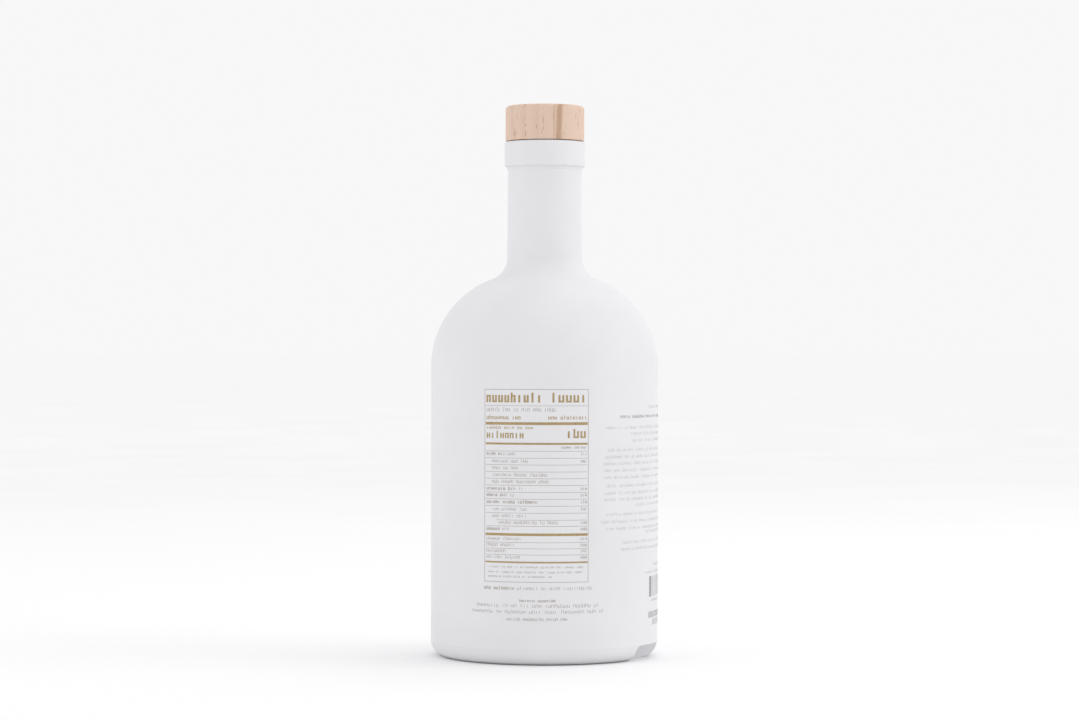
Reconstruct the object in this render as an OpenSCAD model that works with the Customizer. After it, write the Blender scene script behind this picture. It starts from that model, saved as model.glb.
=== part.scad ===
// A white coated olive oil bottle with a round wooden stopper.
// Millimetres, +Z up, origin at the centre of the foot.
// The printed panel faces -Y, and angles are measured from -Y towards +X.

/* [Body] */
// Diameter of the cylindrical wall
body_d = 84; // [70:1:102]
// Height at which the cylindrical wall ends and the shoulder starts
body_h = 106.8; // [80:0.1:140]
// Radius of the rounded heel
heel_r = 6; // [4:0.1:8]

/* [Shoulder and neck] */
// Radius of the domed shoulder, seen from the side
shoulder_r = 34.3; // [28:0.1:35]
// Radius of the hollow curve between the shoulder and the neck
neck_blend_r = 8.5; // [6:0.1:11]
// Diameter of the neck where it leaves the blend
neck_base_d = 27.8; // [22:0.1:34]
// Diameter of the neck just under the collar
neck_top_d = 27.2; // [20:0.1:29]
// Height of the straight neck, from the blend to the collar
neck_h = 33.5; // [20:0.1:45]

/* [Collar] */
// Diameter of the collar round the mouth
collar_d = 29.8; // [29.2:0.1:40]
// Height of the collar
collar_h = 9.2; // [6:0.1:14]
// Radius of the collar's upper edge
collar_top_edge_r = 0.6; // [0.3:0.1:1.2]
// Radius of the collar's lower edge
collar_low_edge_r = 0.4; // [0.2:0.1:1]
// How far the slight ring under the collar stands out from the neck
under_ring_w = 0.3; // [0.1:0.1:1]
// Height of that ring
under_ring_h = 1.1; // [0.5:0.1:3]

/* [Foot] */
// Width of the flat ring that the bottle stands on
foot_w = 3.5; // [1:0.1:5]
// Height of the bevelled step inside that ring
foot_step_h = 1; // [0.5:0.1:2]
// Further rise of the shallow dome under the base
base_dome_h = 2; // [1:0.1:5]

/* [Index notch] */
// Direction of the notch in the heel, in degrees from -Y towards +X
notch_angle = 71; // [0:1:90]
// Diameter of the round notch
notch_d = 20.8; // [14:0.1:28]
// How far the notch cuts in past the outer edge of the foot ring
notch_bite = 2; // [1:0.1:6]
// Height of the notch
notch_h = 5.7; // [3:0.1:8]
// Radius of the notch's upper edge
notch_edge_r = 2.4; // [0.5:0.1:3]

/* [Stopper] */
// Diameter of the wooden head
head_d = 29.1; // [24:0.1:36]
// Height of the wooden head, with the seat that it rests on
head_h = 13.3; // [8:0.1:20]
// Radius of the head's upper edge
head_top_edge_r = 1.4; // [0.5:0.1:3]
// Radius of the head's lower edge
head_low_edge_r = 0.4; // [0.2:0.1:1]
// How far the seat, which rests on the collar, is set in from the head's side
seat_inset = 1.8; // [1:0.1:4]
// Height of the seat, which is the thin gap seen between the head and the collar
seat_h = 0.3; // [0.2:0.1:1]

/* [Hidden] */
$fn = 96;

body_r = body_d / 2;
neck_base_r = neck_base_d / 2;
neck_top_r = neck_top_d / 2;
foot_r = body_r - heel_r;

// The shoulder's arc and the blend's arc touch at one point, on the line through their centres.
shoulder_x = body_r - shoulder_r;
blend_x = neck_base_r + neck_blend_r;
centres_gap = shoulder_r + neck_blend_r;
blend_z = body_h + sqrt(pow(centres_gap, 2) - pow(blend_x - shoulder_x, 2));
touch_x = shoulder_x + (blend_x - shoulder_x) * shoulder_r / centres_gap;
touch_z = body_h + (blend_z - body_h) * shoulder_r / centres_gap;

collar_z = blend_z + neck_h;
bottle_h = collar_z + collar_h;

// The dome's edge lies where the bevelled step ends.
dome_edge_r = foot_r - foot_w - foot_step_h;
dome_r = (pow(dome_edge_r, 2) + pow(base_dome_h, 2)) / (2 * base_dome_h);

notch_x = foot_r - notch_bite + notch_d / 2;
overcut = 2;

// Half outline of a round disc that stands on z = 0, with rounded outer edges.
module disc_outline(r, h, top_edge_r, low_edge_r) {
    difference() {
        square([r, h]);
        corner_waste(r, h, top_edge_r, 1);
        corner_waste(r, 0, low_edge_r, -1);
    }
}

// What rounding takes off the outer corner at [x, z]: up is 1 for an upper corner, -1 for a lower one.
module corner_waste(x, z, edge_r, up) {
    difference() {
        translate([x - edge_r, up > 0 ? z - edge_r : z - overcut])
            square([edge_r + overcut, edge_r + overcut]);
        translate([x - edge_r, z - up * edge_r]) circle(edge_r);
    }
}

// Half outline of the heel, wall, shoulder and neck. The straight-sided core joins the points where
// the arcs meet, and the neck and its slight ring run up into the collar.
module glass_outline() {
    difference() {
        union() {
            polygon([
                [0, 0], [foot_r, 0], [body_r, heel_r], [body_r, body_h],
                [touch_x, touch_z], [touch_x, blend_z], [neck_base_r, blend_z],
                [neck_top_r, collar_z], [neck_top_r, collar_z + collar_h / 2], [0, collar_z + collar_h / 2]
            ]);
            translate([foot_r, heel_r]) circle(heel_r);
            translate([0, collar_z - under_ring_h])
                square([neck_top_r + under_ring_w, under_ring_h + collar_h / 4]);
            intersection() {
                translate([shoulder_x, body_h]) circle(shoulder_r, $fn = 180);
                translate([0, body_h]) square([body_r, touch_z - body_h]);
            }
        }
        translate([blend_x, blend_z]) circle(neck_blend_r);
    }
}

// Half outline of the space under the base: a bevelled step, then a shallow dome.
module base_outline() {
    polygon([
        [0, -overcut], [dome_edge_r + foot_step_h, -overcut], [dome_edge_r + foot_step_h, 0],
        [dome_edge_r, foot_step_h], [0, foot_step_h]
    ]);
    intersection() {
        translate([0, foot_step_h + base_dome_h - dome_r]) circle(dome_r, $fn = 360);
        square([dome_edge_r, foot_step_h + base_dome_h]);
    }
}

// The round index notch, as the body that is cut away.
module notch() {
    rotate([0, 0, notch_angle - 90])
        translate([notch_x, 0, 0])
            rotate_extrude()
                difference() {
                    translate([0, -overcut]) square([notch_d / 2, notch_h + overcut]);
                    corner_waste(notch_d / 2, notch_h, notch_edge_r, 1);
                }
}

module bottle() {
    color([0.9, 0.9, 0.92])
        difference() {
            rotate_extrude()
                difference() {
                    union() {
                        glass_outline();
                        translate([0, collar_z])
                            disc_outline(collar_d / 2, collar_h, collar_top_edge_r, collar_low_edge_r);
                    }
                    base_outline();
                }
            notch();
        }
}

// The stopper's head rests flat on top of the collar, on a seat that is a little narrower than itself.
module stopper() {
    color([0.88, 0.76, 0.65])
        translate([0, 0, bottle_h])
            rotate_extrude() {
                square([head_d / 2 - seat_inset, head_h / 2]);
                translate([0, seat_h])
                    disc_outline(head_d / 2, head_h - seat_h, head_top_edge_r, head_low_edge_r);
            }
}

bottle();
stopper();
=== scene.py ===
"""Olive oil bottle: matte coated glass, a turned wooden stopper and plain print."""

import math
import random

import bmesh
import bpy
from bpy.props import FloatProperty, FloatVectorProperty, IntProperty, PointerProperty
from mathutils import Matrix, Vector


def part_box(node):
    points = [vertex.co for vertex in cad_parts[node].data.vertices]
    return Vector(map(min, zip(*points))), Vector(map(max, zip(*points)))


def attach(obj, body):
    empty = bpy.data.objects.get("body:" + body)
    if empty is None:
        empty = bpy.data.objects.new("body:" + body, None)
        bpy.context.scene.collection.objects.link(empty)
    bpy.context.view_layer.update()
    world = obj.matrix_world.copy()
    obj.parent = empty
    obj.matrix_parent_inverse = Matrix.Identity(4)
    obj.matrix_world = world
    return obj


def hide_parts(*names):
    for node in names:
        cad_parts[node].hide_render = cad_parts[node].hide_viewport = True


bl_info = {
    "name": "Olive oil bottle",
    "version": (1, 0, 0),
    "blender": (4, 5, 0),
    "location": "3D View > Sidebar > Bottle",
    "description": "Builds the coated glass, the stopper, the print and the stage",
    "category": "Object",
}

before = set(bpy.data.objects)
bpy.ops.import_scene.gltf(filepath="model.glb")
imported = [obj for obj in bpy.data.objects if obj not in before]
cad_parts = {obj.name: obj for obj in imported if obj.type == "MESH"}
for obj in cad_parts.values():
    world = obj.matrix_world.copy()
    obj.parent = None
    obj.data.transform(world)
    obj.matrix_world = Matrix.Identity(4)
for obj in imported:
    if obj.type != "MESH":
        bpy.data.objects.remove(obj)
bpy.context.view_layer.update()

MM = 0.001
BODY = "root"
GLASS_LOW, GLASS_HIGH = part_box("bottle")
STOPPER_LOW, STOPPER_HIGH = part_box("stopper")
GLASS_RADIUS = (GLASS_HIGH.x - GLASS_LOW.x) / 2
STOPPER_RADIUS = (STOPPER_HIGH.x - STOPPER_LOW.x) / 2

CREASE = math.radians(32.0)
COLLAR_LOW_EDGE = 0.4 * MM
COLLAR_TOP_EDGE = 0.6 * MM
SEAM_HALF = 0.22 * MM
NOTCH_OVERCUT = 2.0 * MM
NOTCH_STEPS = 96
MERGE_DISTANCE = 0.001 * MM

# Wood: how far the head lies from the pith of its tree, and how far out each feature runs
FROM_PITH = (60.0 * MM, -25.0 * MM, 0.0)
GRAIN_WAVER = 1.1 * MM
YEAR_START = 77.05 * MM
YEAR_WIDTH = 5.6 * MM
BROAD_STREAK = 76.45 * MM
NARROW_STREAK = 75.25 * MM
FIRST_DASHES = 65.9 * MM
SECOND_DASHES = 72.4 * MM

# Lights: name, place, size and power
LIGHTS = (
    ("side_light", (1.1, -0.05, 0.7), 0.7, 2.1),
    ("top_light", (0.3, 0.35, 1.3), 0.9, 1.9),
    ("left_light", (-1.2, -0.5, 0.62), 0.7, 1.1),
)
LIGHT_AIM = (0.0, 0.0, 0.1)
FRONT_DIMMING = 0.18
FLOOR_RADIUS = 30.0

# Camera: where it stands round the bottle, and how it is turned from level and straight on
CAMERA_DISTANCE = 1109.6 * MM
CAMERA_HEIGHT = 115.0 * MM
CAMERA_AROUND = math.radians(4.3)
CAMERA_DOWN = 0.0053
CAMERA_ASIDE = 0.0017
CAMERA_ROLL = -0.0017
LENS = 100.0
SENSOR_WIDTH = 36.0


# Sizes and colours that a user may change


def length(name, description, default):
    """A length property, in metres."""
    return FloatProperty(
        name=name, description=description, default=default, unit="LENGTH", precision=5
    )


def colour(name, description, default):
    """A linear colour property."""
    return FloatVectorProperty(
        name=name,
        description=description,
        default=default,
        size=3,
        min=0.0,
        max=1.0,
        subtype="COLOR",
    )


class GlassSizes(bpy.types.PropertyGroup):
    """Sizes of the coated glass."""

    coat_inset: length(
        "Coat inset", "How far the coat lies inside the packed solid", 0.05 * MM
    )
    wall_height: length("Wall height", "Top of the straight wall", 106.8 * MM)
    heel_radius: length("Heel radius", "Rounding of the heel", 6.0 * MM)
    shoulder_radius: length("Shoulder radius", "Rounding of the shoulder", 34.3 * MM)
    blend_radius: length("Neck blend radius", "Hollow between shoulder and neck", 8.5 * MM)
    neck_base_radius: length("Neck base radius", "Neck radius above the hollow", 13.9 * MM)
    neck_top_radius: length("Neck top radius", "Neck radius under the collar", 13.6 * MM)
    collar_radius: length("Collar radius", "Outer radius of the collar", 14.9 * MM)
    collar_height: length("Collar height", "Height of the collar", 9.2 * MM)
    ring_out: length("Under ring", "How far the ring under the collar stands out", 0.3 * MM)
    ring_height: length("Under ring height", "Height of the ring under the collar", 1.1 * MM)
    foot_ring: length("Foot ring", "Width of the flat foot ring", 3.5 * MM)
    foot_step: length("Foot step", "Step inside the foot ring", 1.0 * MM)
    base_dome: length("Base dome", "Rise of the base above the foot step", 2.0 * MM)
    seam_height: length("Seam height", "Height of the mould seam on the heel", 5.8 * MM)
    seam_rise: length("Seam rise", "How far the mould seam stands out", 0.035 * MM)
    around: IntProperty(
        name="Steps around", description="Faces round the glass", default=288, min=48
    )


class NotchSizes(bpy.types.PropertyGroup):
    """Sizes of the index notch in the heel."""

    turn: FloatProperty(
        name="Turn",
        description="Direction of the notch, from the front towards +X",
        default=math.radians(71.0),
        subtype="ANGLE",
    )
    radius: length("Radius", "Radius of the round bite", 10.4 * MM)
    out: length("Distance out", "Distance of the bite's axis from the bottle's", 44.4 * MM)
    height: length("Height", "Height of the bite above the foot", 5.7 * MM)
    edge: length("Ceiling edge", "Rounding of the bite's ceiling", 2.4 * MM)


class StopperSizes(bpy.types.PropertyGroup):
    """Sizes of the stopper's head."""

    top_edge: length("Top edge", "Rounding of the top edge", 1.4 * MM)
    low_edge: length("Low edge", "Rounding of the low edge", 0.4 * MM)
    seat_inset: length("Seat inset", "How far the seat is set in from the side", 1.8 * MM)
    seat_height: length("Seat height", "Thin gap between head and collar", 0.3 * MM)
    around: IntProperty(
        name="Steps around", description="Faces round the head", default=192, min=32
    )


class PrintSizes(bpy.types.PropertyGroup):
    """Sizes of the printed panel and rows."""

    ink_rise: length("Ink rise", "How far the ink stands on the coat", 0.01 * MM)
    ink_root: length("Ink root", "How deep the ink is keyed into the coat", 0.02 * MM)
    panel_half: length("Panel half width", "Half of the panel's width", 19.3 * MM)
    panel_top: length("Panel top", "Height of the panel's top line", 98.9 * MM)
    panel_foot: length("Panel foot", "Height of the panel's bottom line", 30.0 * MM)
    fine_line: length("Fine line", "Thickness of the frame and the rules", 0.17 * MM)


class Finishes(bpy.types.PropertyGroup):
    """Colours of the finishes."""

    coat: colour("Coat", "Matte coat of the glass", (0.785, 0.785, 0.805))
    wood_pale: colour("Pale wood", "Wood between the growth lines", (0.745, 0.575, 0.455))
    wood_mid: colour("Middle wood", "Wood near the growth lines", (0.68, 0.49, 0.375))
    wood_blush: colour("Blush wood", "Pinker patches of the wood", (0.735, 0.54, 0.435))
    wood_dark: colour("Dark wood", "Growth lines and streaks", (0.41, 0.235, 0.125))
    gold: colour("Gold ink", "Bars and bold print", (0.42, 0.315, 0.155))
    gold_fine: colour("Fine gold ink", "Frame, rules and small print", (0.36, 0.32, 0.28))
    grey: colour("Grey ink", "Print on the side", (0.45, 0.445, 0.45))
    grey_dark: colour("Dark grey ink", "Bar block and marks on the side", (0.26, 0.26, 0.27))
    floor: colour("Floor", "Floor of the stage", (0.948, 0.945, 0.948))
    sky: colour("Surround", "Soft light all round", (0.940, 0.934, 0.940))


SETTINGS = {
    "bottle_glass_sizes": GlassSizes,
    "bottle_notch_sizes": NotchSizes,
    "bottle_stopper_sizes": StopperSizes,
    "bottle_print_sizes": PrintSizes,
    "bottle_finishes": Finishes,
}


# Materials


class Value:
    """A shader value; sums with it add Math nodes to its finish."""

    def __init__(self, finish, socket):
        self.finish = finish
        self.socket = socket

    def maths(self, operation, first, second=0.0):
        """The result of one Math node."""
        return self.finish.node(
            "ShaderNodeMath", {"operation": operation}, {0: first, 1: second}
        )

    def __add__(self, other):
        return self.maths("ADD", self, other)

    def __sub__(self, other):
        return self.maths("SUBTRACT", self, other)

    def __rsub__(self, other):
        return self.maths("SUBTRACT", other, self)

    def __mul__(self, other):
        return self.maths("MULTIPLY", self, other)

    def __truediv__(self, other):
        return self.maths("DIVIDE", self, other)

    def __pow__(self, other):
        return self.maths("POWER", self, other)

    __radd__ = __add__
    __rmul__ = __mul__

    def __abs__(self):
        return self.maths("ABSOLUTE", self)

    def fraction(self):
        """The part after the decimal point."""
        return self.maths("FRACT", self)

    def larger(self, other):
        """The larger of two values."""
        return self.maths("MAXIMUM", self, other)


class Nodes:
    """A node tree and its shader."""

    def __init__(self, owner, shader):
        owner.use_nodes = True
        self.tree = owner.node_tree
        self.shader = self.tree.nodes[shader]

    def feed(self, socket, value):
        """Puts a link or a number on a socket."""
        if isinstance(value, Value):
            self.tree.links.new(value.socket, socket)
        elif socket.type == "RGBA" and len(value) == 3:
            socket.default_value = (*value, 1.0)
        else:
            socket.default_value = value

    def node(self, kind, settings=None, inputs=None, output=0):
        """Adds a node: its settings first, then the values or links of its sockets."""
        made = self.tree.nodes.new(kind)
        for name, value in (settings or {}).items():
            setattr(made, name, value)
        for name, value in (inputs or {}).items():
            self.feed(made.inputs[name], value)
        return Value(self, made.outputs[output])

    def show(self, socket, value):
        """Puts a link or a number on one of the shader's sockets."""
        self.feed(self.shader.inputs[socket], value)


class Finish(Nodes):
    """A material and the nodes that make it."""

    def __init__(self, name, **constants):
        self.material = bpy.data.materials.new(name)
        super().__init__(self.material, "Principled BSDF")
        for socket, value in constants.items():
            self.show(socket.replace("_", " "), value)

    def place(self, scale=(1.0, 1.0, 1.0), shift=(0.0, 0.0, 0.0)):
        """Object coordinates, scaled and then shifted."""
        where = self.node("ShaderNodeTexCoord", output="Object")
        return self.node(
            "ShaderNodeMapping",
            {"vector_type": "POINT"},
            {"Vector": where, "Location": shift, "Scale": scale},
        )

    def noise(self, vector, scale, detail=2.0, roughness=0.5):
        """Smooth noise round 0.5, with features about 1 / scale metres wide."""
        return self.node(
            "ShaderNodeTexNoise",
            {"noise_dimensions": "3D"},
            {"Vector": vector, "Scale": scale, "Detail": detail, "Roughness": roughness},
        )

    def blend(self, factor, first, second):
        """Colour between first and second."""
        return self.node(
            "ShaderNodeMix",
            {"data_type": "RGBA", "clamp_factor": True},
            {0: factor, 6: first, 7: second},
            output=2,
        )

    def ease(self, value, low, high, start=0.0, end=1.0):
        """Smooth change from start to end as value goes from low to high."""
        return self.node(
            "ShaderNodeMapRange",
            {"interpolation_type": "SMOOTHSTEP"},
            {
                "Value": value,
                "From Min": low,
                "From Max": high,
                "To Min": start,
                "To Max": end,
            },
        )

    def bump(self, height, depth):
        """Feeds a height, in metres at 1.0, to the shader's normal."""
        normal = self.node(
            "ShaderNodeBump", None, {"Strength": 1.0, "Distance": depth, "Height": height}
        )
        self.show("Normal", normal)


def coat_finish(colours):
    """Matte lacquer on glass: even, faintly clouded, with a very fine grain."""
    made = Finish("coated_glass_white", IOR=1.48, Diffuse_Roughness=0.0)
    cloud = made.noise(made.place(), 38.0, 3.0)
    grain = made.noise(made.place(), 2600.0, 2.0, 0.6)
    paler = [min(1.0, part * 1.015) for part in colours.coat]
    duller = [part * 0.985 for part in colours.coat]
    made.show("Base Color", made.blend(made.ease(cloud, 0.3, 0.7), duller, paler))
    made.show("Roughness", 0.5 + 0.08 * cloud + 0.05 * grain)
    made.bump(grain, 0.012 * MM)
    return made


def wood_finish(colours):
    """Planed wood with upright grain: growth lines, a double streak, dashes and pores."""
    made = Finish("stopper_pale_wood", IOR=1.45, Specular_IOR_Level=0.3)
    from_pith = made.node(
        "ShaderNodeVectorMath",
        {"operation": "LENGTH"},
        {0: made.place(scale=(1.0, 1.0, 0.0), shift=FROM_PITH)},
        output="Value",
    )
    waver = made.noise(made.place(scale=(1.0, 1.0, 0.45)), 170.0, 2.0)
    ring = from_pith + GRAIN_WAVER * (waver - 0.5)
    year = ((ring - YEAR_START) / YEAR_WIDTH).fraction()
    late = made.ease(year, 0.15, 0.97) ** 1.6
    edge = made.ease(year, 0.93, 1.0, 1.0, 0.0)
    broad = made.ease(abs(ring - BROAD_STREAK), 0.25 * MM, 0.95 * MM, 1.0, 0.0)
    narrow = made.ease(abs(ring - NARROW_STREAK), 0.05 * MM, 0.28 * MM, 0.55, 0.0)
    patches = made.noise(made.place(scale=(1.0, 1.0, 0.5)), 240.0)
    streak = broad.larger(narrow) * made.ease(patches, 0.25, 0.6, 0.55, 1.0)
    pore_cell = made.noise(made.place(scale=(1.0, 1.0, 0.09)), 2300.0, 1.0)
    pore_patch = made.ease(made.noise(made.place(), 230.0), 0.45, 0.62)
    pores = made.ease(pore_cell, 0.62, 0.69) * (0.25 + 0.75 * pore_patch)
    fibre = made.noise(made.place(scale=(1.0, 1.0, 0.03)), 5200.0, 2.0)
    blush = made.ease(made.noise(made.place(scale=(1.0, 1.0, 0.3)), 120.0, 2.0), 0.3, 0.7)
    ground = made.blend(0.6 * late * edge, colours.wood_pale, colours.wood_mid)
    ground = made.blend(0.35 * blush, ground, colours.wood_blush)
    ground = made.blend(0.22 * made.ease(fibre, 0.35, 0.75), ground, colours.wood_mid)
    ground = made.blend(0.62 * streak, ground, colours.wood_dark)
    first = made.ease(abs(ring - FIRST_DASHES), 0.08 * MM, 0.32 * MM, 1.0, 0.0)
    second = made.ease(abs(ring - SECOND_DASHES), 0.06 * MM, 0.26 * MM, 0.85, 0.0)
    dashes = made.ease(made.noise(made.place(scale=(0.3, 0.3, 1.0)), 820.0), 0.47, 0.6)
    ground = made.blend(0.6 * first.larger(second) * dashes, ground, colours.wood_dark)
    made.show("Base Color", made.blend(0.65 * pores, ground, colours.wood_dark))
    made.show("Roughness", 0.55 + 0.12 * fibre + 0.12 * pores)
    made.bump(0.35 * fibre + 0.3 * year - 1.0 * pores, 0.05 * MM)
    return made


def ink_finish(name, ink, metallic, roughness):
    """Screen-printed ink: slightly uneven in tone, with a soft shine."""
    made = Finish(name, Metallic=metallic, IOR=1.45)
    tone = made.noise(made.place(), 900.0, 3.0, 0.6)
    deeper = [part * 0.9 for part in ink]
    fuller = [min(1.0, part * 1.1) for part in ink]
    made.show("Base Color", made.blend(made.ease(tone, 0.3, 0.7), deeper, fuller))
    made.show("Roughness", roughness + 0.12 * tone)
    made.bump(tone, 0.006 * MM)
    return made


def floor_finish(colours):
    """Plain pale floor with painted light: it grows paler and emits a faint light further from the
    middle, so that far away it fades into the surround.
    """
    made = Finish(
        "stage_floor", Roughness=0.9, Specular_IOR_Level=0.0, Emission_Strength=0.03
    )
    far = made.node(
        "ShaderNodeVectorMath", {"operation": "LENGTH"}, {0: made.place()}, output="Value"
    )
    cloud = made.noise(made.place(), 6.0, 2.0)
    # Painted light: the floor's colour grows paler towards white further from the middle.
    painted_far_light = made.blend(made.ease(far, 0.1, 2.6), colours.floor, (1.0, 1.0, 1.0))
    softer = [part * 0.995 for part in colours.floor]
    # Painted light: the floor emits a faint light that grows further from the middle.
    painted_far_glow = made.blend(made.ease(far, 0.4, 3.0), (0.0, 0.0, 0.0), (1.0, 1.0, 1.0))
    made.show("Emission Color", painted_far_glow)
    made.show("Base Color", made.blend(0.5 * made.ease(cloud, 0.3, 0.7), painted_far_light, softer))
    return made


# Shapes


class Outline:
    """Half of a turned shape, drawn beside the axis in the XZ plane and then turned round it."""

    def __init__(self, radius, height):
        self.mesh = bmesh.new()
        self.tip = self.mesh.verts.new((radius, 0.0, height))

    def line(self, radius, height, parts=1):
        """Straight on to a point, in equal parts."""
        start = self.tip.co.copy()
        end = Vector((radius, 0.0, height))
        for part in range(parts):
            following = self.mesh.verts.new(start.lerp(end, (part + 1) / parts))
            self.mesh.edges.new((self.tip, following))
            self.tip = following

    def arc(self, centre_radius, centre_height, turn, steps):
        """Round a centre; a positive turn goes from outwards to upwards."""
        made = bmesh.ops.spin(
            self.mesh,
            geom=[self.tip],
            cent=(centre_radius, 0.0, centre_height),
            axis=(0.0, -1.0, 0.0),
            angle=turn,
            steps=steps,
        )
        self.tip = [v for v in made["geom_last"] if isinstance(v, bmesh.types.BMVert)][0]

    def turned(self, steps):
        """The closed solid of the outline turned round the axis."""
        bmesh.ops.spin(
            self.mesh,
            geom=self.mesh.verts[:] + self.mesh.edges[:],
            cent=(0.0, 0.0, 0.0),
            axis=(0.0, 0.0, 1.0),
            angle=math.tau,
            steps=steps,
            use_merge=True,
        )
        bmesh.ops.remove_doubles(self.mesh, verts=self.mesh.verts, dist=MERGE_DISTANCE)
        bmesh.ops.recalc_face_normals(self.mesh, faces=self.mesh.faces)
        return self.mesh


def finished_piece(name, shape, finish):
    """A mesh object from a bmesh, smooth up to the crease angle, that rides on the body."""
    mesh = bpy.data.meshes.new(name)
    shape.to_mesh(mesh)
    shape.free()
    mesh.shade_smooth()
    mesh.set_sharp_from_angle(angle=CREASE)
    mesh.materials.append(finish.material)
    piece = bpy.data.objects.new(name, mesh)
    bpy.context.scene.collection.objects.link(piece)
    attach(piece, BODY)
    return piece


def glass_shape(sizes):
    """The outside of the glass, from the middle of the base up to the top of the collar."""
    wall = GLASS_RADIUS - sizes.coat_inset
    floor = GLASS_LOW.z
    heel = sizes.heel_radius
    heel_centre = wall - heel
    step_height = floor + sizes.foot_step
    step_radius = heel_centre - sizes.foot_ring - sizes.foot_step
    dome_top = step_height + sizes.base_dome
    dome_radius = (step_radius**2 + sizes.base_dome**2) / (2 * sizes.base_dome)
    dome_turn = math.asin(step_radius / dome_radius)
    made = Outline(0.0, dome_top)
    made.arc(0.0, dome_top - dome_radius, -dome_turn, 10)
    made.line(heel_centre - sizes.foot_ring, floor)
    made.line(heel_centre, floor)
    seam_low = sizes.seam_height - SEAM_HALF
    made.arc(heel_centre, floor + heel, math.acos(1.0 - seam_low / heel), 18)
    made.line(wall + sizes.seam_rise, floor + sizes.seam_height - SEAM_HALF / 2)
    made.line(wall + sizes.seam_rise, floor + sizes.seam_height + SEAM_HALF / 2)
    made.line(wall, floor + sizes.seam_height + SEAM_HALF)
    made.line(wall, floor + sizes.wall_height, 26)
    shoulder = sizes.shoulder_radius
    shoulder_centre = wall - shoulder
    blend = sizes.blend_radius
    blend_centre = sizes.neck_base_radius + blend
    across = blend_centre - shoulder_centre
    shoulder_turn = math.acos(across / (shoulder + blend))
    made.arc(shoulder_centre, floor + sizes.wall_height, shoulder_turn, 34)
    blend_height = (shoulder + blend) * math.sin(shoulder_turn)
    made.arc(blend_centre, floor + sizes.wall_height + blend_height, -shoulder_turn, 14)
    collar_low = GLASS_HIGH.z - sizes.collar_height
    ring_out = sizes.ring_out
    ring_low = collar_low - sizes.ring_height
    ring_radius = sizes.neck_top_radius + ring_out
    made.line(sizes.neck_top_radius, ring_low - ring_out, 8)
    made.arc(ring_radius, ring_low - ring_out, -math.pi / 2, 4)
    made.line(ring_radius, collar_low, 2)
    collar = sizes.collar_radius
    made.line(collar - COLLAR_LOW_EDGE, collar_low)
    made.arc(collar - COLLAR_LOW_EDGE, collar_low + COLLAR_LOW_EDGE, math.pi / 2, 5)
    made.line(collar, GLASS_HIGH.z - COLLAR_TOP_EDGE, 4)
    made.arc(collar - COLLAR_TOP_EDGE, GLASS_HIGH.z - COLLAR_TOP_EDGE, math.pi / 2, 6)
    made.line(0.0, GLASS_HIGH.z, 2)
    return made.turned(sizes.around)


def notch_shape(sizes):
    """The round bite that is cut out of the heel."""
    edge_height = GLASS_LOW.z + sizes.height - sizes.edge
    made = Outline(0.0, GLASS_LOW.z - NOTCH_OVERCUT)
    made.line(sizes.radius, GLASS_LOW.z - NOTCH_OVERCUT)
    made.line(sizes.radius, edge_height, 3)
    made.arc(sizes.radius - sizes.edge, edge_height, math.pi / 2, 8)
    made.line(0.0, GLASS_LOW.z + sizes.height, 2)
    shape = made.turned(NOTCH_STEPS)
    place = Vector((math.sin(sizes.turn), -math.cos(sizes.turn), 0.0)) * sizes.out
    bmesh.ops.translate(shape, verts=shape.verts, vec=place)
    return shape


def stopper_shape(sizes):
    """The stopper's head, on a slightly narrower seat, with a well rounded top edge."""
    low = STOPPER_LOW.z
    high = STOPPER_HIGH.z
    head_low = low + sizes.seat_height
    made = Outline(0.0, low)
    made.line(STOPPER_RADIUS - sizes.seat_inset, low, 2)
    made.line(STOPPER_RADIUS - sizes.seat_inset, head_low)
    made.line(STOPPER_RADIUS - sizes.low_edge, head_low)
    made.arc(STOPPER_RADIUS - sizes.low_edge, head_low + sizes.low_edge, math.pi / 2, 6)
    made.line(STOPPER_RADIUS, high - sizes.top_edge, 6)
    made.arc(STOPPER_RADIUS - sizes.top_edge, high - sizes.top_edge, math.pi / 2, 10)
    made.line(0.0, high, 6)
    return made.turned(sizes.around)


# Print


# Shares of a tall letter's height, and of the letters that are one stroke
SMALL_LETTER = 0.75
ONE_STROKE = 0.24


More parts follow.
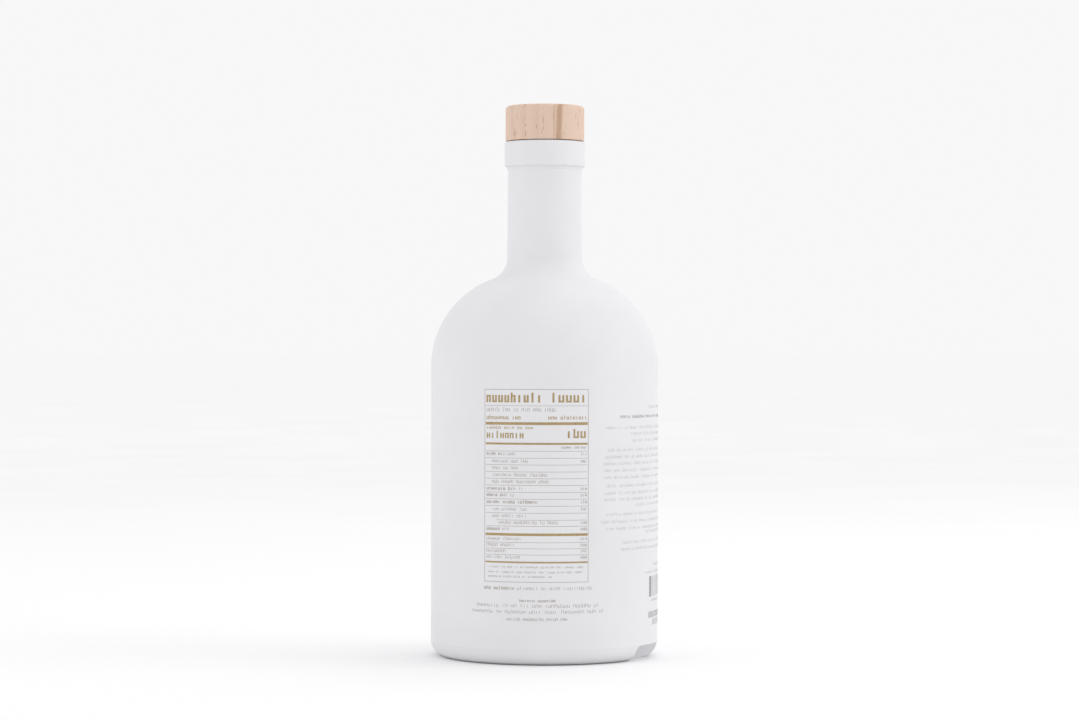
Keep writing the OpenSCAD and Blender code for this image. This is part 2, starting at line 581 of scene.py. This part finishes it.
class Sheet:
    """Ink on the round wall: along goes round from the front to +X, and up is the height."""

    def __init__(self, glass, sizes, seed):
        self.mesh = bmesh.new()
        self.wall = GLASS_RADIUS - glass.coat_inset
        self.inner = self.wall - sizes.ink_root
        self.outer = self.wall + sizes.ink_rise
        self.draw = random.Random(seed)

    def bar(self, start, end, low, high):
        """A long bar that follows the wall."""
        corners = [
            (self.inner, low),
            (self.outer, low),
            (self.outer, high),
            (self.inner, high),
        ]
        turn = Matrix.Rotation(start / self.wall, 4, "Z")
        verts = [self.mesh.verts.new(turn @ Vector((0.0, -out, up))) for out, up in corners]
        face = self.mesh.faces.new(verts)
        sweep = (end - start) / self.wall
        bmesh.ops.spin(
            self.mesh,
            geom=[face] + face.edges[:] + verts,
            cent=(0.0, 0.0, 0.0),
            axis=(0.0, 0.0, 1.0),
            angle=sweep,
            steps=max(1, round(math.degrees(abs(sweep)) / 1.5)),
        )

    def stroke(self, along, up, width, height):
        """A small upright block of ink round a middle point."""
        middle = (self.inner + self.outer) / 2
        turn = Matrix.Rotation(along / self.wall, 4, "Z")
        place = Matrix.Translation((0.0, -middle, up))
        grow = Matrix.Diagonal((width, self.outer - self.inner, height, 1.0))
        bmesh.ops.create_cube(self.mesh, size=1.0, matrix=turn @ place @ grow)

    def mark(self, left, up, pitch, tall, ink):
        """One stand-in for a letter: one upright stroke, or two with a short dash between them."""
        low = up - tall * 0.4
        small = tall * SMALL_LETTER
        first = left + ink / 2 + pitch * 0.08
        rise = self.draw.choice((small, small, small, tall))
        if self.draw.random() < ONE_STROKE:
            self.stroke(left + pitch * 0.42, low + rise / 2, ink, rise)
            return
        second = left + pitch * 0.86 - ink / 2
        self.stroke(first, low + rise / 2, ink, rise)
        self.stroke(second, low + small / 2, ink, small)
        dash = ink * 0.85
        between = second - first - ink * 1.1
        level = self.draw.choice((dash / 2, small / 2, small - dash / 2))
        if between > 0:
            self.stroke((first + second) / 2, low + level, between, dash)

    def row(self, start, end, up, pitch, tall, ink, bold_end=None, bold_ink=None):
        """A row of stand-in words between two ends; the first part may be bolder."""
        count = max(1, round((end - start) / pitch))
        step = (end - start) / count
        left_in_word = self.draw.randint(3, 8)
        for place in range(count):
            at = start + place * step
            if left_in_word == 0 and place < count - 2:
                left_in_word = self.draw.randint(2, 9)
                continue
            left_in_word = max(0, left_in_word - 1)
            thick = bold_ink if bold_end is not None and at < bold_end else ink
            self.mark(at, up, step, tall, thick)

    def done(self):
        """The sheet's mesh, with every face turned outwards."""
        bmesh.ops.recalc_face_normals(self.mesh, faces=self.mesh.faces)
        return self.mesh


# The print's tables are in millimetres. Along is measured round the wall from the front.

# Thick bars of the panel: their ends, then the height and thickness of each
PANEL_BAR_ENDS = (-18.9, 19.0)
PANEL_BARS = (
    (86.65, 1.0),
    (79.45, 0.72),
    (47.03, 0.92),
    (37.13, 0.6),
)
# Thin rules of the panel: height of each, and how far they stop short of the frame's edge
PANEL_RULES = (
    93.0, 76.8, 74.3, 71.9, 69.4, 67.0, 64.6, 62.1, 59.7, 57.2, 54.7, 50.0, 44.2, 42.0, 39.8,
)
RULE_INSET = 0.45
INDENTED_RULE = 52.2
INDENTED_RULE_START = -14.6
# Large rows of the panel: start, end, height, letter pitch, letter height, stroke
LARGE_ROWS = (
    (-18.8, 2.6, 95.6, 2.38, 3.5, 0.74),
    (5.2, 18.8, 95.6, 2.7, 3.5, 0.74),
    (-18.6, -4.1, 82.4, 1.81, 2.6, 0.5),
    (10.8, 18.6, 82.8, 2.6, 3.3, 0.7),
    (-18.6, -5.3, 88.7, 1.1, 1.45, 0.27),
    (4.4, 18.8, 88.7, 1.1, 1.45, 0.27),
    (-18.6, -0.8, 85.1, 0.99, 1.15, 0.2),
)
# Two small rows near its top: start, end, height, letter pitch, letter height, stroke
UPPER_ROWS = (
    (-18.5, 7.2, 91.6, 1.03, 1.6, 0.15),
    (9.2, 18.6, 78.1, 0.72, 0.95, 0.16),
)
THIN_STROKE = 0.14
BOLD_STROKE = 0.24
# Rows between the rules: start, end, height, end of the bold part
# Letters are given as pitch, height, stroke
PANEL_LETTERS = (0.93, 1.25, THIN_STROKE)
PANEL_ROWS = (
    (-18.5, -7.4, 75.8, -11.5),
    (-16.3, -2.7, 73.2, None),
    (-16.3, -6.4, 70.8, None),
    (-16.3, 4.2, 68.3, None),
    (-16.3, 4.7, 65.9, None),
    (-18.5, -4.4, 63.4, -8.6),
    (-18.5, -7.8, 61.1, -12.4),
    (-18.5, 0.8, 58.6, -1.6),
    (-16.3, -3.1, 56.1, None),
    (-16.3, -3.1, 53.6, None),
    (-13.6, 8.0, 51.3, None),
    (-18.5, -9.5, 49.0, -12.2),
    (-18.5, -5.0, 45.5, None),
    (-18.5, -7.5, 43.3, None),
    (-18.5, -10.8, 41.1, None),
    (-18.5, -5.5, 38.9, None),
)
# Short rows at the panel's right edge: their ends, then the height of each
SHARE_LETTERS = (0.83, 1.25, 0.17)
SHARE_ENDS = (16.3, 18.8)
SHARE_ROWS = (75.8, 73.2, 63.4, 61.1, 58.6, 56.1, 51.3, 49.0, 45.5, 43.3, 41.1, 38.9)
# Rows in the panel's foot: start, end, height
FOOTNOTE_LETTERS = (0.72, 0.8, 0.12)
FOOTNOTE_ROWS = ((-17.7, 17.6, 35.4), (-17.7, 17.2, 33.6), (-17.7, 5.9, 32.0))
# First row beneath the panel: start, end, height, end of the bold part
FIRST_LOWER_LETTERS = (0.97, 1.3, THIN_STROKE)
FIRST_LOWER_ROW = (-19.5, 20.7, 27.8, -8.5)
# Other rows beneath it: start, end, height, letter pitch, letter height, stroke
LOWER_ROWS = (
    (-5.8, 7.3, 23.4, 0.94, 1.0, 0.22),
    (-22.5, 23.7, 21.6, 1.12, 1.35, THIN_STROKE),
    (-24.7, 25.7, 19.4, 1.12, 1.35, THIN_STROKE),
    (-10.5, 11.5, 16.8, 0.85, 1.2, THIN_STROKE),
)
# Rows centred on the +X side: half length, height
SIDE_LETTERS = (0.95, 1.2, 0.11)
SIDE_ROWS = (
    (15.5, 92.3),
    (39.3, 85.0),
    (27.6, 82.7),
    (26.7, 80.3),
    (38.5, 76.9),
    (39.8, 74.5),
    (40.6, 72.1),
    (40.9, 69.6),
    (40.8, 67.1),
    (39.2, 64.1),
    (40.4, 61.5),
    (40.3, 59.2),
    (24.7, 57.0),
    (39.4, 53.9),
    (41.7, 51.2),
    (39.6, 48.7),
    (18.6, 47.0),
    (31.8, 43.6),
    (32.4, 41.2),
    (10.6, 34.6),
    (18.2, 32.0),
)
SIDE_BOLD_LETTERS = (1.0, 1.2, 0.2)
SIDE_BOLD_ROW = (33.0, 88.9)
# Block of upright bars on that side: its foot and top, how far out its end bars begin and
# end, where the bars between them begin and end, and the widths and gaps they draw from
BLOCK_HEIGHTS = (22.9, 30.4)
BLOCK_EDGE = (12.8, 14.4)
BLOCK_INNER = (-12.3, 12.0)
BAR_WIDTHS = (0.2, 0.2, 0.35)
BAR_GAPS = (0.5, 0.7, 0.9)
# The row under the block: half length, height
BLOCK_LETTERS = (1.9, 1.3, 0.17)
BLOCK_ROW = (13.0, 21.6)
# Rows of short marks under that: half length, height, and the mark's height and width
MARK_ROWS = ((14.7, 16.4, 2.3, 0.7), (10.9, 13.6, 2.3, 0.45))
MARK_SPACING = 1.5


def metres(*values):
    """Values from the print's tables, in metres."""
    return [value * MM for value in values]


def panel_lines(glass, sizes):
    """The panel's thin frame and the rules between its rows."""
    made = Sheet(glass, sizes, 3)
    half = sizes.panel_half
    line = sizes.fine_line
    for up in (sizes.panel_top, sizes.panel_foot + line):
        made.bar(-half, half, up - line, up)
    for side in (-1, 1):
        middle = side * (half - line / 2)
        tall = sizes.panel_top - sizes.panel_foot
        made.stroke(middle, sizes.panel_foot + tall / 2, line, tall)
    inset = RULE_INSET * MM
    thin = line * 0.8
    for up in PANEL_RULES:
        made.bar(inset - half, half - inset, up * MM - thin / 2, up * MM + thin / 2)
    up = INDENTED_RULE * MM
    made.bar(INDENTED_RULE_START * MM, half - inset, up - thin / 2, up + thin / 2)
    return made.done()


def panel_bold(glass, sizes):
    """The panel's thick bars and its large heading, word and figure, as plain strokes."""
    made = Sheet(glass, sizes, 5)
    start, end = PANEL_BAR_ENDS
    for up, thick in PANEL_BARS:
        made.bar(*metres(start, end, up - thick / 2, up + thick / 2))
    for values in LARGE_ROWS:
        made.row(*metres(*values))
    return made.done()


def panel_small(glass, sizes):
    """The panel's small rows and the lines beneath it, as plain strokes."""
    made = Sheet(glass, sizes, 7)
    bold = BOLD_STROKE * MM
    for values in UPPER_ROWS:
        made.row(*metres(*values))
    for start, end, up, bold_end in PANEL_ROWS:
        bold_at = None if bold_end is None else bold_end * MM
        made.row(*metres(start, end, up, *PANEL_LETTERS), bold_at, bold)
    for up in SHARE_ROWS:
        made.row(*metres(*SHARE_ENDS, up, *SHARE_LETTERS))
    for values in FOOTNOTE_ROWS:
        made.row(*metres(*values, *FOOTNOTE_LETTERS))
    start, end, up, bold_end = FIRST_LOWER_ROW
    made.row(*metres(start, end, up, *FIRST_LOWER_LETTERS), bold_end * MM, bold)
    for values in LOWER_ROWS:
        made.row(*metres(*values))
    return made.done()


def side_rows(glass, sizes):
    """The pale rows centred on the +X side, as plain strokes."""
    made = Sheet(glass, sizes, 11)
    side = math.pi / 2 * made.wall
    for half, up in SIDE_ROWS:
        made.row(side - half * MM, side + half * MM, *metres(up, *SIDE_LETTERS))
    return made.done()


def side_dark(glass, sizes):
    """The bolder row, the block of plain upright bars and the dark marks on the +X side."""
    made = Sheet(glass, sizes, 13)
    side = math.pi / 2 * made.wall
    half, up = SIDE_BOLD_ROW
    made.row(side - half * MM, side + half * MM, *metres(up, *SIDE_BOLD_LETTERS))
    low, high = metres(*BLOCK_HEIGHTS)
    near, far = metres(*BLOCK_EDGE)
    made.bar(side - far, side - near, low, high)
    made.bar(side + near, side + far, low, high)
    at, end = metres(*BLOCK_INNER)
    while at < end:
        width = made.draw.choice(BAR_WIDTHS) * MM
        made.bar(side + at, side + at + width, low, high)
        at += width + made.draw.choice(BAR_GAPS) * MM
    half, up = BLOCK_ROW
    made.row(side - half * MM, side + half * MM, *metres(up, *BLOCK_LETTERS))
    for reach, up, tall, wide in MARK_ROWS:
        count = round(reach / MARK_SPACING)
        for place in range(-count, count + 1):
            along = side + place * reach * MM / count
            made.stroke(along, up * MM, wide * MM, tall * MM)
    return made.done()


# Operators


class BOTTLE_OT_glass(bpy.types.Operator):
    """Build the matte coated glass with its heel notch"""

    bl_idname = "bottle.glass"
    bl_label = "Coated glass"

    def execute(self, context):
        scene = context.scene
        finish = coat_finish(scene.bottle_finishes)
        shape = glass_shape(scene.bottle_glass_sizes)
        piece = finished_piece("bottle_glass", shape, finish)
        cutter_mesh = bpy.data.meshes.new("notch_cutter")
        cutter_shape = notch_shape(scene.bottle_notch_sizes)
        cutter_shape.to_mesh(cutter_mesh)
        cutter_shape.free()
        cutter = bpy.data.objects.new("notch_cutter", cutter_mesh)
        scene.collection.objects.link(cutter)
        bite = piece.modifiers.new("notch", "BOOLEAN")
        bite.operation = "DIFFERENCE"
        bite.solver = "EXACT"
        bite.object = cutter
        with context.temp_override(object=piece, active_object=piece):
            bpy.ops.object.modifier_apply(modifier=bite.name)
        bpy.data.objects.remove(cutter)
        bpy.data.meshes.remove(cutter_mesh)
        piece.data.shade_smooth()
        piece.data.set_sharp_from_angle(angle=CREASE)
        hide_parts("bottle")
        return {"FINISHED"}


class BOTTLE_OT_stopper(bpy.types.Operator):
    """Build the turned wooden head of the stopper"""

    bl_idname = "bottle.stopper"
    bl_label = "Wooden stopper"

    def execute(self, context):
        finish = wood_finish(context.scene.bottle_finishes)
        shape = stopper_shape(context.scene.bottle_stopper_sizes)
        piece = finished_piece("stopper_head", shape, finish)
        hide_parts("stopper")
        return {"FINISHED"}


class BOTTLE_OT_panel(bpy.types.Operator):
    """Build the gold panel and the rows beneath it"""

    bl_idname = "bottle.panel"
    bl_label = "Gold print"

    def execute(self, context):
        scene = context.scene
        glass = scene.bottle_glass_sizes
        sizes = scene.bottle_print_sizes
        colours = scene.bottle_finishes
        gold = ink_finish("gold_ink_full", colours.gold, 0.5, 0.4)
        fine = ink_finish("gold_ink_fine", colours.gold_fine, 0.3, 0.45)
        finished_piece("print_panel_lines", panel_lines(glass, sizes), fine)
        finished_piece("print_panel_bold", panel_bold(glass, sizes), gold)
        finished_piece("print_small_rows", panel_small(glass, sizes), fine)
        return {"FINISHED"}


class BOTTLE_OT_side(bpy.types.Operator):
    """Build the grey print on the side"""

    bl_idname = "bottle.side"
    bl_label = "Grey print"

    def execute(self, context):
        scene = context.scene
        glass = scene.bottle_glass_sizes
        sizes = scene.bottle_print_sizes
        colours = scene.bottle_finishes
        pale = ink_finish("grey_ink_pale", colours.grey, 0.0, 0.5)
        dark = ink_finish("grey_ink_dark", colours.grey_dark, 0.0, 0.5)
        finished_piece("print_side_rows", side_rows(glass, sizes), pale)
        finished_piece("print_side_marks", side_dark(glass, sizes), dark)
        return {"FINISHED"}


def soft_light(name, place, size, power):
    """A large square lamp that faces the middle of the bottle."""
    lamp = bpy.data.lights.new(name, "AREA")
    lamp.shape = "SQUARE"
    lamp.size = size
    lamp.energy = power
    holder = bpy.data.objects.new(name, lamp)
    holder.location = place
    holder.rotation_euler = (Vector(LIGHT_AIM) - Vector(place)).to_track_quat("-Z", "Y").to_euler()
    bpy.context.scene.collection.objects.link(holder)


def surround(colours):
    """Even pale surround that lights the front a little less than the sides."""
    world = bpy.data.worlds.new("soft_surround")
    sky = Nodes(world, "Background")
    where = sky.node("ShaderNodeTexCoord", output="Generated")
    towards_back = sky.node("ShaderNodeSeparateXYZ", None, {"Vector": where}, output="Y")
    front = (0.0 - towards_back).larger(0.0)
    seen = sky.node("ShaderNodeLightPath", output="Is Camera Ray")
    dim = (1.0 - seen) * front * front
    sky.show("Color", (*colours.sky, 1.0))
    sky.show("Strength", 1.0 - FRONT_DIMMING * dim)
    return world


class BOTTLE_OT_stage(bpy.types.Operator):
    """Build the floor, the soft lights and the camera"""

    bl_idname = "bottle.stage"
    bl_label = "Stage"

    def execute(self, context):
        scene = context.scene
        colours = scene.bottle_finishes
        shape = bmesh.new()
        bmesh.ops.create_circle(shape, cap_ends=True, segments=96, radius=FLOOR_RADIUS)
        mesh = bpy.data.meshes.new("stage_floor")
        shape.to_mesh(mesh)
        shape.free()
        mesh.materials.append(floor_finish(colours).material)
        floor = bpy.data.objects.new("stage_floor", mesh)
        scene.collection.objects.link(floor)
        scene.world = surround(colours)
        for light in LIGHTS:
            soft_light(*light)
        lens = bpy.data.cameras.new("camera")
        lens.lens = LENS
        lens.sensor_width = SENSOR_WIDTH
        lens.clip_start = 0.01
        lens.clip_end = 100.0
        camera = bpy.data.objects.new("camera", lens)
        across = CAMERA_DISTANCE * math.sin(CAMERA_AROUND)
        back = CAMERA_DISTANCE * math.cos(CAMERA_AROUND)
        camera.location = (across, -back, CAMERA_HEIGHT)
        pitch = math.pi / 2 - CAMERA_DOWN
        camera.rotation_euler = (pitch, CAMERA_ROLL, CAMERA_AROUND + CAMERA_ASIDE)
        scene.collection.objects.link(camera)
        scene.camera = camera
        scene.view_settings.view_transform = "Standard"
        scene.view_settings.look = "None"
        return {"FINISHED"}


class BOTTLE_PT_parts(bpy.types.Panel):
    """Lists the bottle's operators and sizes"""

    bl_idname = "BOTTLE_PT_parts"
    bl_label = "Olive oil bottle"
    bl_space_type = "VIEW_3D"
    bl_region_type = "UI"
    bl_category = "Bottle"

    def draw(self, context):
        for operator in OPERATORS:
            self.layout.operator(operator.bl_idname)
        for name, group in SETTINGS.items():
            box = self.layout.box()
            for setting in group.__annotations__:
                box.prop(getattr(context.scene, name), setting)


OPERATORS = (
    BOTTLE_OT_glass,
    BOTTLE_OT_stopper,
    BOTTLE_OT_panel,
    BOTTLE_OT_side,
    BOTTLE_OT_stage,
)


def register():
    """Adds the settings, the operators and the panel."""
    for group in SETTINGS.values():
        bpy.utils.register_class(group)
    for operator in OPERATORS:
        bpy.utils.register_class(operator)
    bpy.utils.register_class(BOTTLE_PT_parts)
    for name, group in SETTINGS.items():
        setattr(bpy.types.Scene, name, PointerProperty(type=group))


def unregister():
    """Takes them away again."""
    for name in SETTINGS:
        delattr(bpy.types.Scene, name)
    bpy.utils.unregister_class(BOTTLE_PT_parts)
    for operator in reversed(OPERATORS):
        bpy.utils.unregister_class(operator)
    for group in reversed(SETTINGS.values()):
        bpy.utils.unregister_class(group)


def main():
    """Builds everything."""
    register()
    bpy.ops.bottle.glass()
    bpy.ops.bottle.stopper()
    bpy.ops.bottle.panel()
    bpy.ops.bottle.side()
    bpy.ops.bottle.stage()


if __name__ == "__main__":
    main()
